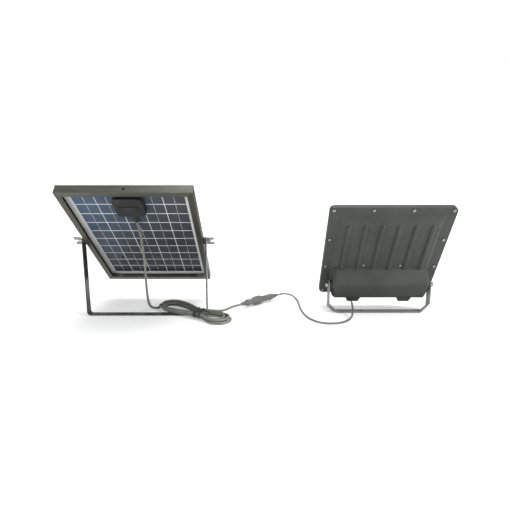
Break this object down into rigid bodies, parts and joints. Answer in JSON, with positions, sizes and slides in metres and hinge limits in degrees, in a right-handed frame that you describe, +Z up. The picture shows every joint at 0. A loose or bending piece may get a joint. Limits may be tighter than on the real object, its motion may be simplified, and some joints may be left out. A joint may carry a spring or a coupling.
{
  "type": "solar flood light",
  "caption": "Flood lamp and solar panel, each tilting on a U bracket, joined by a cable with a tied hank and a screw connector.",
  "frame": {"origin": "centre of the panel bracket's foot, on its underside", "axes": "+Z up, +X from the panel towards the lamp, along both tilt axes"},
  "size_m": [0.7576, 0.2534, 0.2707],
  "materials": {
    "frame_aluminium": "satin anodised",
    "key_aluminium": "cast",
    "glass": "clear",
    "white_sheet": "glossy laminate",
    "cell_silicon": "blue-black under a clear coat",
    "busbar_tin": "tinned",
    "black_plastic": "moulded",
    "bright_steel": "zinc plated",
    "dark_washer": "moulded",
    "seal_rubber": "matt",
    "lamp_paint": "die cast, with a fine textured dark powder coat",
    "board_aluminium": "white solder mask",
    "led_phosphor": "clear over yellow",
    "white_plastic": "smooth",
    "battery_wrap": "shrink wrap",
    "circuit_board": "solder mask",
    "black_paint": "glossy black paint",
    "grey_paint": "light grey powder coat",
    "cable_sheath": "matt sheath",
    "tie_plastic": "coated wire",
    "connector_plastic": "moulded nylon"
  },
  "bodies": {
    "root": {"panel_bracket": "black_paint", "lamp_bracket": "grey_paint", "panel_lead": "cable_sheath", "cable_hank": "cable_sheath", "hank_ties": "tie_plastic", "panel_lead_tail": "cable_sheath", "socket_boot": "connector_plastic", "socket_body": "connector_plastic", "coupling_nut": "connector_plastic", "plug_body": "connector_plastic", "plug_boot": "connector_plastic", "lamp_lead": "cable_sheath"},
    "panel_body": {"panel_rail_top": "frame_aluminium", "panel_rail_bottom": "frame_aluminium", "panel_rail_left": "frame_aluminium", "panel_rail_right": "frame_aluminium", "frame_corner_keys": "key_aluminium", "panel_glass": "glass", "panel_grid_sheet": "white_sheet", "solar_cells": "cell_silicon", "cell_busbars": "busbar_tin", "junction_box_base": "black_plastic", "junction_box_lid": "black_plastic", "junction_box_screws": "bright_steel", "junction_box_gland": "black_plastic", "bypass_diode_board": "black_plastic", "panel_pivot_bolts": "bright_steel", "panel_pivot_spacers": "dark_washer", "panel_pivot_washers": "bright_steel", "panel_wing_nuts": "bright_steel"},
    "lamp_body": {"lamp_housing": "lamp_paint", "flange_screws": "bright_steel", "led_board_screws": "bright_steel", "lamp_bezel": "lamp_paint", "lamp_glass": "glass", "lamp_seal": "seal_rubber", "led_board": "board_aluminium", "led_chips": "led_phosphor", "reflector_frame": "white_plastic", "battery_cells": "battery_wrap", "battery_tray": "black_plastic", "control_board": "circuit_board", "lamp_pivot_bolts": "bright_steel", "serrated_washers": "dark_washer", "spring_washers": "bright_steel", "lead_grommet": "black_plastic"}
  },
  "joints": [
    {"name": "panel_tilt", "type": "hinge", "parent": "root", "child": "panel_body", "pos_m": [0, 0, 0.158], "axis": [1, 0, 0], "range_deg": [-14.5, 41.5], "deforming": ["panel_lead"]},
    {"name": "lamp_tilt", "type": "hinge", "parent": "root", "child": "lamp_body", "pos_m": [0.4925, 0.019, 0.0605], "axis": [1, 0, 0], "range_deg": [-39, 61], "deforming": ["lamp_lead"]}
  ]
}
